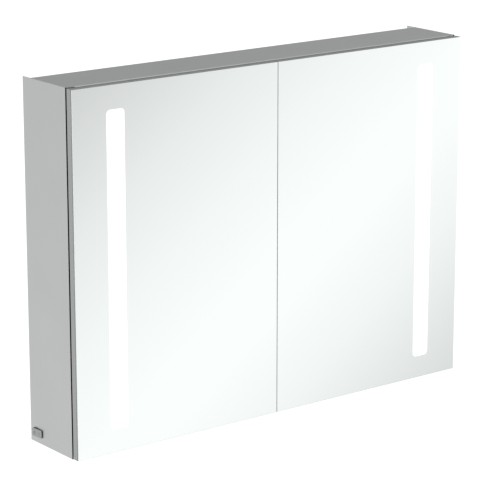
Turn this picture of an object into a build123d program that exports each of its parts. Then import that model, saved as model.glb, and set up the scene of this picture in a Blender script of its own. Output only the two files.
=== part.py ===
from build123d import *
from math import radians, tan
import os

# Wall-hung bathroom mirror cabinet: two mirror doors with lit strips, on concealed hinges.
# X runs to the right, Y into the wall and Z up. The origin is the middle of the wall
# rail's row of screw holes, on the wall. Lengths are in millimetres.

# Whole cabinet
cabinet_width = 1000.0      # over the two side skins
cabinet_height = 750.0      # of the body
cabinet_depth = 173.0       # from the wall to the face of the mirrors
screw_line_drop = 60.0      # from the body's top down to the wall screws
rear_space = 25.0           # behind the body, hidden by the side skins

# Walls of the body
skin = 2.0                  # outer aluminium sheet
side_board = 14.0           # hollow board inside each skin
end_board = 12.0            # hollow top and bottom boards
partition_board = 16.0      # hollow middle wall
cell_wall = 1.2             # wall of the hollow boards
cells = 3                   # hollow cells in the depth of a board
rear_board = 4.0            # rear panel
lip_reach = 4.0             # front lip of the top and bottom boards, towards the doors
lip_thickness = 3.0
lip_end = 20.0              # from the cabinet's side to the end of a lip
lip_arris = 0.6             # on the lip's front edges
seal_height = 1.8           # black bead on the front edge of a skin
seal_round = 0.7

# Doors
front_glass = 4.0
core_thickness = 10.0
rear_glass = 3.0
door_gap = 5.0              # from the back of the doors to the body
mid_gap = 1.5               # between the two doors
door_inset = 1.5            # the doors end this far inside the body's height
glass_arris = 0.5           # ground edge of the glass
frame_web = 1.5             # edge wall of the door frame
frame_flange = 3.6          # reach of its flanges, from the door's edge
frame_leaf = 1.2            # thickness of its flanges

# Lit strips
strip_width = 42.8
strip_length = 650.0
strip_centre = 100.0        # from the door's hinge edge
strip_corner = 9.0
diffuser_rim = 5.0          # flange of the diffuser behind the glass
diffuser_leaf = 2.0
led_width = 28.0
led_board = 1.6
led_chip = 5.0
led_height = 1.0
led_pitch = 25.0
pocket_floor = 1.0          # core left under the lamp pocket

# Concealed hinges, in the plan of the left door: from its edge and from its face
hinge_inset = 100.0         # from the body's top and bottom
pivot_edge = 9.2
pivot_face = 9.0
pin_radius = 1.5
pin_running = 0.05          # radial room of the pin in the arm
cup_edge = 5.0              # from the door's edge to the cup
cup_radius = 17.5
cup_depth = 11.8
cup_wall = 1.0
cup_flange = 1.0
cup_collar = 1.5            # flange beyond the cup
cup_screw_pitch = 48.0
cup_screw_offset = 9.5      # from the middle of the cup, away from the edge
wing_width = 12.0           # of the cup flange round the screws
ear_thickness = 2.0
ear_room = 0.3              # between an ear and the finger
ear_top = 5.0               # from the door's back down to the ears
ear_reach = 4.0             # of the ears beyond the pin
finger_width = 7.0
finger_thickness = 3.6
finger_eye = 2.6            # outer radius of the eye
neck_wall = 8.5             # from the side wall to the middle of the neck
elbow_radius = 4.0
arm_start = 9.0             # from the body's front to the arm's channel
arm_length = 62.0
arm_width = 16.0
arm_height = 10.0
arm_wall = 1.5
plate_base = 3.0
plate_setback = 37.0        # from the body's front to the plate screws
plate_screw_pitch = 32.0
plate_wing_length = 54.0
plate_wing_width = 20.0
wing_chamfer = 5.0
plate_rail_width = 10.0
plate_rail_height = 7.0
plate_rail_length = 46.0
arm_screw_spread = 22.0     # between the two screws of an arm

# Shelves
shelf_thickness = 6.0
shelf_side_gap = 1.0
shelf_front_gap = 10.0
shelf_rear_gap = 6.0
support_inset = 16.0        # from the shelf's edges to the supports
support_radius = 4.5
support_length = 7.0
support_shank = 2.4
support_depth = 8.0

# Wall fixing
rail_sheet = 2.5
rail_end_gap = 34.0         # from a side wall to the wall rail's end
rail_half = 16.0            # flat of the wall rail, above and below its holes
rail_lip = 13.5
rail_slot = 2.5             # between the wall rail's lip and its flat
rail_holes = 4
rail_hole_end = 45.0        # from the rail's end to its last hole
rail_hole_radius = 3.25
hanger_end_gap = 4.0        # from a side wall to the hanger rail's end
hanger_play = 0.6
hanger_lip = 11.5
hanger_below = 28.0         # plate under the hook
hanger_above = 18.0         # plate over the hook
hanger_screws = 6
hanger_screw_end = 30.0     # from the rail's end to its last screw
buffer_radius = 11.0
buffer_chamfer = 1.0
buffer_in = 140.0           # from the cabinet's side
buffer_up = 30.0            # from the body's bottom
bumper_radius = 3.2
bumper_slope = 15.0         # sides of a bumper, in degrees
bumper_room = 0.4           # between a bumper and the closed door
bumper_inset = 60.0

# Electrics in the lower left corner
cover_length = 150.0
cover_depth = 42.0
cover_height = 46.0
cover_wall = 1.5
vent_count = 7
vent_pitch = 8.0
vent_width = 2.5
vent_length = 22.0
driver_length = 96.0
driver_depth = 31.0
driver_height = 23.0
driver_chamfer = 2.0
driver_start = 36.0         # from the side wall
block_length = 22.0
block_depth = 15.0
block_height = 15.0
block_poles = 3
block_start = 5.0
wire_radius = 2.0
wire_up = 6.0               # from the bottom board to the wires
grommet_start = 74.0        # from the side wall
grommet_up = 33.0           # from the bottom board
grommet_bore = 4.0
grommet_neck = 6.0
grommet_rim = 8.0
grommet_leaf = 2.0

# Rocker switch on the left side
switch_length = 31.0
switch_height = 17.0
switch_corner = 2.5
switch_wall_gap = 11.0      # from the wall to the switch
switch_up = 13.0            # from the body's bottom to the switch
switch_proud = 1.5          # flange in front of the skin
switch_rim = 1.7            # flange round the body
switch_room = 0.2           # round the body in the skin
switch_depth = 22.0
switch_shell = 1.6
rocker_tilt = 5.0           # to each side, in degrees
rocker_inset = 0.3          # of the paddle inside the flange
rocker_leaf = 0.9
rocker_lift = 0.25          # from the flange to the pressed paddle
rocker_pin = 1.4
rocker_pin_room = 0.1
rocker_sink = 2.5           # pivot behind the face of the skin
rocker_stem = 7.0
rocker_stem_end = 7.0       # stem beyond the pivot
blade_width = 4.8
blade_thickness = 0.8
blade_length = 7.0

# Screws
screw_head = 3.6
screw_shank = 2.0
screw_room = 0.1            # radial room round a shank
pan_height = 2.0
pan_slope = 20.0            # sides of a low head, in degrees
plate_screw_length = 12.0
cup_screw_length = 9.0
arm_screw_length = 7.0
rear_screw_length = 12.0
rear_screws = 3

# Sides of the round pieces that repeat
fastener_sides = 6          # screws, their holes and the shelf supports' pins
pin_sides = 12              # hinge pins, eyes and shelf rests
round_sides = 20            # hinge cups, grommet and wall buffers

# Places that follow from the sizes above
over = 1.0                  # cutters pass through by this much
half_width = cabinet_width / 2
wall_face = half_width - skin - side_board
rail_half_length = wall_face - rail_end_gap
rail_hole_pitch = 2 * (rail_half_length - rail_hole_end) / (rail_holes - 1)
hanger_half_length = wall_face - hanger_end_gap
hanger_screw_pitch = 2 * (hanger_half_length - hanger_screw_end) / (hanger_screws - 1)
body_top = screw_line_drop
body_bottom = body_top - cabinet_height
inner_top = body_top - end_board
inner_bottom = body_bottom + end_board
door_front = -cabinet_depth
glass_back = door_front + front_glass
core_back = glass_back + core_thickness
door_back = core_back + rear_glass
body_front = door_back + door_gap
body_rear = -rear_space
rear_face = body_rear - rear_board
door_thickness = door_back - door_front
door_top = body_top - door_inset
door_bottom = body_bottom + door_inset
door_middle = (door_top + door_bottom) / 2
side_heights = (inner_bottom, inner_top)
body_depths = (body_front, body_rear)
hinge_heights = (body_bottom + hinge_inset, body_top - hinge_inset)
pivot_x = -half_width + pivot_edge
pivot_y = door_front + pivot_face
cup_x = -half_width + cup_edge + cup_radius
shelf_front = body_front + shelf_front_gap
shelf_rear = rear_face - shelf_rear_gap
inner_height = inner_top - inner_bottom
shelf_levels = [inner_bottom + inner_height * third / 3 for third in (1, 2)]
support_depths = (shelf_front + support_inset, shelf_rear - support_inset)
switch_y = -switch_wall_gap - switch_length / 2
switch_z = body_bottom + switch_up + switch_height / 2
switch_body_length = switch_length - 2 * switch_rim
switch_body_height = switch_height - 2 * switch_rim


def block(x, y, z):
    """A box between two limits on each axis."""
    size = Box(x[1] - x[0], y[1] - y[0], z[1] - z[0])
    return Pos((x[0] + x[1]) / 2, (y[0] + y[1]) / 2, (z[0] + z[1]) / 2) * size


def facing(point, outward, along=(0, 0, 1)):
    """A working plane at a point, with its normal outward and its x axis along."""
    return Plane(origin=point, x_dir=along, z_dir=outward)


def mirrored(part):
    """The same piece for the right-hand side."""
    return mirror(part, about=Plane.YZ)


def group(pieces):
    """Separate like pieces as one node."""
    return Compound(children=list(pieces))


def save(name, part):
    """Write one named piece."""
    export_step(part, f"parts/{name}.step")


def peg(radius, length):
    """A small many-sided bar, from the plane inwards."""
    return extrude(RegularPolygon(radius, fastener_sides), -length)


def pin(radius, length):
    """A many-sided pin, centred on the plane."""
    return extrude(RegularPolygon(radius, pin_sides), length / 2, both=True)


def running_bore(radius, length):
    """A many-sided bore whose flats clear a turning pin, centred on the plane."""
    return extrude(RegularPolygon(radius, pin_sides, major_radius=False), length / 2, both=True)


def disc(radius, length):
    """A larger many-sided round, centred on the plane."""
    return extrude(RegularPolygon(radius, round_sides), length / 2, both=True)


def countersunk(length, room=0.0):
    """A flat-headed screw whose head ends at the plane, or with room, the hole for it."""
    shank = screw_shank + room
    sink = screw_head - shank
    rim = RegularPolygon(screw_head, fastener_sides)
    root = Pos(0, 0, -sink) * RegularPolygon(shank, fastener_sides)
    return loft([root, rim], ruled=True) + peg(shank, length)


def pan_head(length):
    """A low-headed screw standing on the plane."""
    head = extrude(RegularPolygon(screw_head, fastener_sides), pan_height, taper=pan_slope)
    return head + peg(screw_shank, length)


def screw_hole(length):
    """A clearance hole for the shank of a screw, on both sides of the plane."""
    return Pos(0, 0, length) * peg(screw_shank + screw_room, 2 * length)


def hollow_board(x, y, z, run):
    """An extruded board with open cells along its run."""
    board = block(x, y, z)
    pitch = (y[1] - y[0] - cell_wall) / cells
    for cell in range(cells):
        start = y[0] + cell_wall + cell * pitch
        depth = (start, start + pitch - cell_wall)
        if run == "x":
            board -= block((x[0] - over, x[1] + over), depth, (z[0] + cell_wall, z[1] - cell_wall))
        else:
            board -= block((x[0] + cell_wall, x[1] - cell_wall), depth, (z[0] - over, z[1] + over))
    return board


def rounded_slot(width, length, corner, depths):
    """A tall bar with round corners at the middle of the left lit strip."""
    plane = facing((-half_width + strip_centre, depths[0], door_middle), (0, 1, 0))
    return extrude(plane * RectangleRounded(length, width, corner), depths[1] - depths[0])


# Body
def plate_screw_planes():
    """Where the screws of the left hinge plates enter, on the plate's face."""
    face = -wall_face + plate_base
    return [
        facing((face, body_front + plate_setback, height + side * plate_screw_pitch / 2), (1, 0, 0))
        for height in hinge_heights
        for side in (-1, 1)
    ]


def support_bores(x):
    """Bores for the shelf supports through a wall at x."""
    bore = Pos(0, 0, support_depth) * peg(support_shank + screw_room, 2 * support_depth)
    return [
        facing((x, depth, level - support_radius / 2), (1, 0, 0)) * bore
        for level in shelf_levels
        for depth in support_depths
    ]


def left_side_frame():
    """Hollow board behind the left skin, bored for the supports and the hinge plates."""
    x = (-half_width + skin, -wall_face)
    frame = hollow_board(x, body_depths, side_heights, "z")
    frame -= support_bores(-wall_face)
    frame -= [plane * screw_hole(plate_screw_length) for plane in plate_screw_planes()]
    return frame


def switch_notch():
    """Room for the switch in the lower rear corner of the left side board."""
    margin = switch_shell
    y = (switch_y - switch_body_length / 2 - margin, body_rear + over)
    z = (inner_bottom - over, switch_z + switch_body_height / 2 + margin)
    reach = switch_depth + blade_length + margin
    return block((-half_width + skin, -half_width + reach), y, z)


def side_skin():
    """Outer sheet of the left side, reaching back to the wall."""
    return block((-half_width, -half_width + skin), (body_front, 0), (body_bottom, body_top))


def switch_cutout():
    """Hole in the skin for the body of the switch."""
    plane = facing((-half_width, switch_y, switch_z), (-1, 0, 0))
    hole = Box(switch_body_height + 2 * switch_room, switch_body_length + 2 * switch_room, 2 * skin + over)
    return plane * hole


def edge_seal():
    """Black bead on the front edge of the left skin."""
    outline = Pos(-half_width + skin / 2, body_front - seal_height / 2) * Rectangle(skin, seal_height)
    front = outline.vertices().sort_by(Axis.Y)[:2]
    return Pos(0, 0, body_bottom) * extrude(fillet(front, seal_round), cabinet_height)


def grommet_plane():
    """Where the supply lead enters, on the rear face of the rear panel."""
    place = (-wall_face + grommet_start, body_rear, inner_bottom + grommet_up)
    return facing(place, (0, 1, 0))


def rear_screw_planes():
    """Screws through the rear panel into the middle wall."""
    pitch = inner_height / rear_screws
    heights = [inner_bottom + pitch * (step + 0.5) for step in range(rear_screws)]
    return [facing((0, body_rear, height), (0, 1, 0)) for height in heights]


def hanger_screw_planes():
    """Screws through the hanger rail into the rear panel."""
    height = hook_seat() - hanger_below / 2
    start = -hanger_screw_pitch * (hanger_screws - 1) / 2
    y = body_rear + rail_sheet
    return [
        facing((start + step * hanger_screw_pitch, y, height), (0, 1, 0))
        for step in range(hanger_screws)
    ]


def rear_panel():
    """Rear panel with the switch notch, the lead's hole and the screw holes."""
    panel = block((-wall_face, wall_face), (rear_face, body_rear), side_heights)
    panel -= switch_notch()
    panel -= grommet_plane() * disc(grommet_neck, 4 * rear_board)
    panel -= [plane * countersunk(rear_screw_length, screw_room) for plane in rear_screw_planes()]
    panel -= [plane * screw_hole(rear_board + rail_sheet) for plane in hanger_screw_planes()]
    return panel


def centre_partition():
    """Hollow wall between the two compartments."""
    half = partition_board / 2
    wall = hollow_board((-half, half), (body_front, rear_face), side_heights, "z")
    wall -= support_bores(-half)
    wall -= support_bores(half)
    wall -= [plane * screw_hole(rear_screw_length + over) for plane in rear_screw_planes()]
    return wall


def end_board_with_lip(z, lip_z):
    """Top or bottom board, with a lip that closes the gap behind the doors."""
    span = half_width - skin
    reach = half_width - lip_end
    lip = block((-reach, reach), (body_front - lip_reach, body_front), lip_z)
    front = lip.faces().sort_by(Axis.Y)[0].edges().filter_by(Axis.X)
    return hollow_board((-span, span), body_depths, z, "x") + chamfer(front, lip_arris)


# Shelves
def left_shelf(level):
    """Glass shelf of the left compartment, with ground edges."""
    x = (-wall_face + shelf_side_gap, -partition_board / 2 - shelf_side_gap)
    glass = block(x, (shelf_front, shelf_rear), (level, level + shelf_thickness))
    return chamfer(glass.edges().filter_by(Axis.X), glass_arris)


def shelf_support(x, inward, depth, level):
    """Pin in a wall with a half-round rest under the shelf."""
    axis_height = level - support_radius / 2
    plane = facing((x, depth, axis_height), (inward, 0, 0))
    rest = extrude(RegularPolygon(support_radius, pin_sides), support_length)
    above = Box(support_radius, 4 * support_radius, 2 * support_length)
    rest -= Pos(support_radius, 0, support_length / 2) * above
    return plane * (rest + peg(support_shank, support_depth))


def shelf_supports():
    """All supports, four under each shelf."""
    half = partition_board / 2
    seats = ((-wall_face, 1), (-half, -1), (half, 1), (wall_face, -1))
    return group(
        shelf_support(x, inward, depth, level)
        for x, inward in seats
        for depth in support_depths
        for level in shelf_levels
    )


# Wall fixing
def hook_seat():
    """Height of the wall rail's upper edge, on which the cabinet hangs."""
    return rail_half + rail_sheet + rail_lip


def wall_rail():
    """Folded rail on the wall, with an upward lip and a row of screw holes."""
    half = rail_half_length
    front = -2 * rail_sheet - rail_slot
    rail = block((-half, half), (-rail_sheet, 0), (-rail_half, rail_half))
    rail += block((-half, half), (front, 0), (rail_half, rail_half + rail_sheet))
    rail += block((-half, half), (front, front + rail_sheet), (rail_half, hook_seat()))
    start = -rail_hole_pitch * (rail_holes - 1) / 2
    for step in range(rail_holes):
        hole = Cylinder(rail_hole_radius, 4 * rail_sheet)
        rail -= Pos(start + step * rail_hole_pitch, 0, 0) * Rot(90, 0, 0) * hole
    return rail


def hanger_rail():
    """Folded rail on the cabinet's back, whose lip drops behind the wall rail."""
    half = hanger_half_length
    seat = hook_seat()
    lip_front = -rail_sheet - rail_slot + hanger_play
    plate_heights = (seat - hanger_below, seat + hanger_above)
    rail = block((-half, half), (body_rear, body_rear + rail_sheet), plate_heights)
    rail += block((-half, half), (body_rear, lip_front + rail_sheet), (seat, seat + rail_sheet))
    rail += block((-half, half), (lip_front, lip_front + rail_sheet), (seat - hanger_lip, seat + rail_sheet))
    return rail - [plane * screw_hole(2 * rail_sheet) for plane in hanger_screw_planes()]


def wall_buffer(x):
    """Rubber spacer that keeps the cabinet's foot off the wall."""
    plane = facing((x, body_rear, body_bottom + buffer_up), (0, 1, 0))
    pad = Pos(0, 0, rear_space / 2) * disc(buffer_radius, rear_space)
    return plane * chamfer(pad.faces().sort_by(Axis.Z)[-1].edges(), buffer_chamfer)


def door_bumper(side, height):
    """Clear dome on the middle wall, just short of the closed door."""
    rise = door_gap - bumper_room
    place = (side * (mid_gap + partition_board) / 4, body_front, height)
    dome = extrude(RegularPolygon(bumper_radius, fastener_sides), rise, taper=bumper_slope)
    return facing(place, (0, -1, 0)) * dome


# Electrics
def electrics_cover():
    """Three-walled cover over the corner, with a row of vents in its top."""
    x = (-wall_face, -wall_face + cover_length)
    y = (rear_face - cover_depth, rear_face)
    z = (inner_bottom, inner_bottom + cover_height)
    cover = block(x, y, z)
    inside = (x[0] - over, x[1] - cover_wall)
    cover -= block(inside, (y[0] + cover_wall, y[1] + over), (z[0] - over, z[1] - cover_wall))
    first = (x[0] + x[1]) / 2 - vent_pitch * (vent_count - 1) / 2
    for step in range(vent_count):
        vent = Box(vent_width, vent_length, 4 * cover_wall)
        cover -= Pos(first + step * vent_pitch, (y[0] + y[1]) / 2, z[1]) * vent
    return cover


def led_driver():
    """Sealed power supply on the bottom board."""
    start = -wall_face + driver_start
    rear = rear_face - (cover_depth - driver_depth) / 2
    case = block((start, start + driver_length), (rear - driver_depth, rear),
                 (inner_bottom, inner_bottom + driver_height))
    return chamfer(case.edges().filter_by(Axis.Z), driver_chamfer)


def terminal_block():
    """Screw terminals beside the power supply."""
    start = -wall_face + block_start
    front = rear_face - cover_depth + 2 * cover_wall
    body = block((start, start + block_length), (front, front + block_depth),
                 (inner_bottom, inner_bottom + block_height))
    pitch = block_length / block_poles
    for pole in range(block_poles):
        x = start + (pole + 0.5) * pitch
        body -= facing((x, front, inner_bottom + wire_up), (0, -1, 0)) * peg(wire_radius, block_depth)
        top = Pos(x, front + block_depth / 2, inner_bottom + block_height)
        body -= top * peg(wire_radius, block_height / 4)
    return body


def cable_grommet():
    """Grooved rubber ring for the supply lead."""
    length = rear_board + 2 * grommet_leaf
    ring = Pos(0, 0, -rear_board / 2) * disc(grommet_neck, length)
    for side in (-1, 1):
        middle = -rear_board / 2 + side * (rear_board + grommet_leaf) / 2
        ring += Pos(0, 0, middle) * disc(grommet_rim, grommet_leaf)
    ring -= Pos(0, 0, -rear_board / 2) * Cylinder(grommet_bore, 2 * length)
    return grommet_plane() * ring


# Rocker switch, on a plane with x along the wall's depth and y up
def switch_plane():
    """Face of the left skin at the middle of the switch."""
    return facing((-half_width, switch_y, switch_z), (-1, 0, 0), (0, -1, 0))


def switch_housing():
    """Black switch body with its flange on the skin and a well for the rocker."""
    flange = extrude(RectangleRounded(switch_length, switch_height, switch_corner), switch_proud)
    body = Pos(0, 0, -switch_depth / 2) * Box(switch_body_length, switch_body_height, switch_depth)
    well_depth = switch_depth - switch_shell
    well = Box(
        switch_body_length - 2 * switch_shell,
        switch_body_height - 2 * switch_shell,
        well_depth + switch_proud,
    )
    housing = flange + body - Pos(0, 0, (switch_proud - well_depth) / 2) * well
    pin_hole = running_bore(rocker_pin + rocker_pin_room, switch_body_height - switch_shell)
    housing -= Pos(0, 0, -rocker_sink) * Rot(90, 0, 0) * pin_hole
    return switch_plane() * housing


def switch_rocker():
    """Paddle with a two-slope underside, at rest with its front end pressed."""
    half = switch_length / 2 - rocker_inset
    height = switch_height - 2 * rocker_inset
    low = switch_proud + rocker_lift
    rise = half * tan(radians(rocker_tilt))
    outline = make_face(Polyline(
        (0, low),
        (half, low + rise),
        (half, low + rise + rocker_leaf),
        (-half, low + rise + rocker_leaf),
        (-half, low + rise),
        close=True,
    ))
    paddle = extrude(Plane.XZ * outline, height / 2, both=True)
    corners = paddle.edges().filter_by(Axis.Z)
    paddle = fillet(corners, switch_corner - rocker_inset)
    stem_top = low + rocker_leaf
    stem_bottom = -rocker_sink - rocker_stem_end
    pin_span = switch_body_height - switch_shell - 2 * rocker_pin_room
    stem_width = switch_body_height - 2 * switch_shell - 2 * screw_room
    stem = Pos(0, 0, (stem_top + stem_bottom) / 2) * Box(rocker_stem, stem_width, stem_top - stem_bottom)
    pivot = Pos(0, 0, -rocker_sink) * Rot(90, 0, 0) * pin(rocker_pin, pin_span)
    turn = Pos(0, 0, -rocker_sink) * Rot(0, rocker_tilt, 0) * Pos(0, 0, rocker_sink)
    return switch_plane() * turn * (paddle + stem + pivot)


def switch_blades():
    """Three flat contacts at the back of the switch."""
    pitch = switch_body_length / 3
    blade = Pos(0, 0, -switch_depth - blade_length / 2) * Box(blade_thickness, blade_width, blade_length)
    return group(switch_plane() * Pos(step * pitch, 0, 0) * blade for step in (-1, 0, 1))


# Hinges of the left door
def hinge_arm(height):
    """Channel arm with a goose-neck finger that reaches into the cup."""
    neck_x = -wall_face + neck_wall
    channel_y = body_front + arm_start
    path = FilletPolyline(
        (pivot_x, pivot_y),
        (neck_x, pivot_y),
        (neck_x, channel_y + 2 * arm_wall),
        radius=elbow_radius,
    )
    plan = trace(path, finger_thickness) + Pos(pivot_x, pivot_y) * RegularPolygon(finger_eye, pin_sides)
    arm = extrude(plan, finger_width / 2, both=True)
    x = (-wall_face + plate_base, -wall_face + plate_base + arm_height)
    half = arm_width / 2
    channel = block(x, (channel_y, channel_y + arm_length), (-half, half))
    channel -= block(
        (x[0] - over, x[1] - arm_wall),
        (channel_y + arm_wall, channel_y + arm_length + over),
        (arm_wall - half, half - arm_wall),
    )
    arm += channel
    arm -= Pos(pivot_x, pivot_y, 0) * running_bore(pin_radius + pin_running, 2 * finger_width)
    arm = Pos(0, 0, height) * arm
    return arm - [plane * screw_hole(arm_height) for plane in arm_screw_planes(height)]


def arm_screw_planes(height):
    """Screws through an arm's channel into its plate."""
    x = -wall_face + plate_base + arm_height
    middle = body_front + plate_setback
    return [
        facing((x, middle + side * arm_screw_spread / 2, height), (1, 0, 0))
        for side in (-1, 1)
    ]


def hinge_plate(height):
    """Winged mounting plate with a rail for the arm."""
    plane = facing((-wall_face, body_front + plate_setback, height), (1, 0, 0))
    outline = chamfer(Rectangle(plate_wing_length, plate_wing_width).vertices(), wing_chamfer)
    outline += Rectangle(arm_width, plate_rail_length + 2 * plate_base)
    plate = extrude(outline, plate_base)
    rail = Box(plate_rail_width, plate_rail_length, plate_rail_height)
    plate += Pos(0, 0, plate_base + plate_rail_height / 2) * rail
    plate = plane * plate
    plate -= [spot * countersunk(plate_screw_length, screw_room) for spot in plate_screw_planes()]
    return plate - [spot * screw_hole(arm_screw_length + arm_height) for spot in arm_screw_planes(height)]


def cup_plane(height):
    """Back of the door at the middle of a hinge cup."""
    return facing((cup_x, door_back, height), (0, 1, 0), (1, 0, 0))


def cup_screw_places():
    """Screws of a cup flange, from the middle of the cup."""
    return [Pos(cup_screw_offset, side * cup_screw_pitch / 2, 0) for side in (-1, 1)]


def hinge_cup(height):
    """Pressed cup with its flange and two ears that hold the pin."""
    inner = cup_radius - cup_wall
    wings = chamfer(Rectangle(wing_width, cup_screw_pitch + wing_width).vertices(), wing_width / 4)
    flange = RegularPolygon(cup_radius + cup_collar, round_sides) + Pos(cup_screw_offset, 0) * wings
    cup = extrude(flange, cup_flange) + extrude(RegularPolygon(cup_radius, round_sides), -cup_depth)
    floor = cup_wall - cup_depth
    hollow = RegularPolygon(inner, round_sides, major_radius=False)
    cup -= Pos(0, 0, floor) * extrude(hollow, cup_flange - floor)
    pin_offset = pivot_x - cup_x
    ear_end = pin_offset + ear_reach
    for side in (-1, 1):
        start = side * (finger_width / 2 + ear_room)
        ear = Box(cup_radius + ear_end, ear_thickness, -ear_top - floor)
        ear = Pos((ear_end - cup_radius) / 2, start + side * ear_thickness / 2, (floor - ear_top) / 2) * ear
        cup += ear & extrude(RegularPolygon(inner + cup_wall / 2, round_sides), -cup_depth)
    bore = pin(pin_radius, pin_length())
    cup -= Pos(pin_offset, 0, pivot_face - door_thickness) * Rot(90, 0, 0) * bore
    cup -= [
        spot * Pos(0, 0, cup_flange) * countersunk(cup_screw_length, screw_room)
        for spot in cup_screw_places()
    ]
    return cup_plane(height) * cup


def pin_length():
    """Span of a hinge pin over the two ears."""
    return finger_width + 2 * (ear_thickness + ear_room)


def hinge_pin(height):
    """Pin of one hinge, pressed into the ears of the cup."""
    return Pos(pivot_x, pivot_y, height) * pin(pin_radius, pin_length())


def cup_screw_planes():
    """All screws of the left door's cups, on the face of their flanges."""
    return [
        cup_plane(height) * spot * Pos(0, 0, cup_flange)
        for height in hinge_heights
        for spot in cup_screw_places()
    ]


# Left door
door_sides = (-half_width, -mid_gap / 2)
door_heights = (door_bottom, door_top)


def door_slab(inset, depths):
    """A sheet of the left door, smaller than its outline by an inset all round."""
    x = (door_sides[0] + inset, door_sides[1] - inset)
    return block(x, depths, (door_heights[0] + inset, door_heights[1] - inset))


def mirror_front():
    """Front mirror with a ground edge and the slot of the lit strip."""
    glass = door_slab(0, (door_front, glass_back))
    glass = chamfer(glass.faces().sort_by(Axis.Y)[0].edges(), glass_arris)
    depths = (door_front - over, glass_back + over)
    return glass - rounded_slot(strip_width, strip_length, strip_corner, depths)


def light_diffuser():
    """Opal strip, flush in the slot, with a flange behind the glass."""
    play = 2 * pin_running
    face = rounded_slot(strip_width - 2 * play, strip_length - 2 * play, strip_corner - play,
                        (door_front, glass_back))
    rim = 2 * diffuser_rim
    flange = rounded_slot(strip_width + rim, strip_length + rim, strip_corner + diffuser_rim,
                          (glass_back, glass_back + diffuser_leaf))
    return face + flange


def lamp_pocket():
    """Space of the lamp and its diffuser in the core."""
    rim = 2 * diffuser_rim + 2 * screw_room
    return rounded_slot(strip_width + rim, strip_length + rim, strip_corner + diffuser_rim,
                        (glass_back - over, core_back - pocket_floor))


def led_strip():
    """Lamp board on the floor of the pocket, with a row of chips."""
    floor = core_back - pocket_floor
    length = strip_length - led_pitch
    x = -half_width + strip_centre
    board = block((x - led_width / 2, x + led_width / 2), (floor - led_board, floor),
                  (door_middle - length / 2, door_middle + length / 2))
    count = int(length // led_pitch)
    half = led_chip / 2
    chip_depths = (floor - led_board - led_height, floor - led_board)
    for step in range(count):
        z = door_middle + (step - (count - 1) / 2) * led_pitch
        board += block((x - half, x + half), chip_depths, (z - half, z + half))
    return board


def cup_bore():
    """Hole for a hinge cup through the core and the rear mirror."""
    return disc(cup_radius + screw_room, 2 * door_thickness)


def door_core():
    """Rigid board between the mirrors, with the lamp pocket and the cup bores."""
    core = door_slab(frame_flange + screw_room, (glass_back, core_back)) - lamp_pocket()
    core -= [cup_plane(height) * cup_bore() for height in hinge_heights]
    return core - [plane * screw_hole(cup_screw_length) for plane in cup_screw_planes()]


def mirror_rear():
    """Mirror on the inside of the door, cut out for the cups."""
    glass = door_slab(frame_web + 2 * screw_room, (core_back, door_back))
    glass -= [cup_plane(height) * cup_bore() for height in hinge_heights]
    head_hole = peg(screw_head + screw_room, 4 * rear_glass)
    return glass - [plane * head_hole for plane in cup_screw_planes()]


def frame_ring(reach, depths):
    """A rectangular ring along the door's edge."""
    return door_slab(0, depths) - door_slab(reach, (depths[0] - over, depths[1] + over))


def door_frame():
    """Four mitred channel rails round the core, with a rebate for the rear mirror."""
    ring = frame_ring(frame_web, (glass_back, door_back))
    ring += frame_ring(frame_flange, (glass_back, glass_back + frame_leaf))
    ring += frame_ring(frame_flange, (core_back - frame_leaf, core_back))
    left, right = door_sides
    low, high = door_heights
    cut = frame_flange + over
    corners = [(left, low), (right, low), (right, high), (left, high)]
    ways = [(cut, cut), (-cut, cut), (-cut, -cut), (cut, -cut)]
    inner = [(x + across, z + up) for (x, z), (across, up) in zip(corners, ways)]
    rails = []
    for side in range(4):
        end = (side + 1) % 4
        outline = make_face(Polyline(corners[side], corners[end], inner[end], inner[side], close=True))
        wedge = extrude(Plane.XZ * outline, cabinet_depth)
        rails.append(ring & wedge)
    return group(rails)


os.makedirs("parts", exist_ok=True)

save("left_side_skin", side_skin() - switch_cutout())
save("right_side_skin", mirrored(side_skin()))
save("left_side_frame", left_side_frame() - switch_notch())
save("right_side_frame", mirrored(left_side_frame()))
top_lip = (body_top - lip_thickness, body_top)
bottom_lip = (body_bottom, body_bottom + lip_thickness)
save("top_panel", end_board_with_lip((inner_top, body_top), top_lip))
save("bottom_panel", end_board_with_lip((body_bottom, inner_bottom), bottom_lip))
save("rear_panel", rear_panel())
save("rear_panel_screws", group(plane * countersunk(rear_screw_length) for plane in rear_screw_planes()))
save("centre_partition", centre_partition())
save("left_edge_seal", edge_seal())
save("right_edge_seal", mirrored(edge_seal()))

for place, level in zip(("lower", "upper"), shelf_levels):
    save(f"left_{place}_shelf", left_shelf(level))
    save(f"right_{place}_shelf", mirrored(left_shelf(level)))
save("shelf_supports", shelf_supports())
bumper_levels = (inner_bottom + bumper_inset, inner_top - bumper_inset)
save("door_bumpers", group(door_bumper(side, height) for side in (-1, 1) for height in bumper_levels))

save("wall_rail", wall_rail())
save("hanger_rail", hanger_rail())
hanger_screw_length = rail_sheet + rear_board
save("hanger_rail_screws", group(plane * pan_head(hanger_screw_length) for plane in hanger_screw_planes()))
save("wall_buffers", group(wall_buffer(side * (half_width - buffer_in)) for side in (-1, 1)))

save("electrics_cover", electrics_cover())
save("led_driver", led_driver())
save("terminal_block", terminal_block())
save("cable_grommet", cable_grommet())
save("switch_housing", switch_housing())
save("switch_rocker", switch_rocker())
save("switch_blades", switch_blades())

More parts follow.
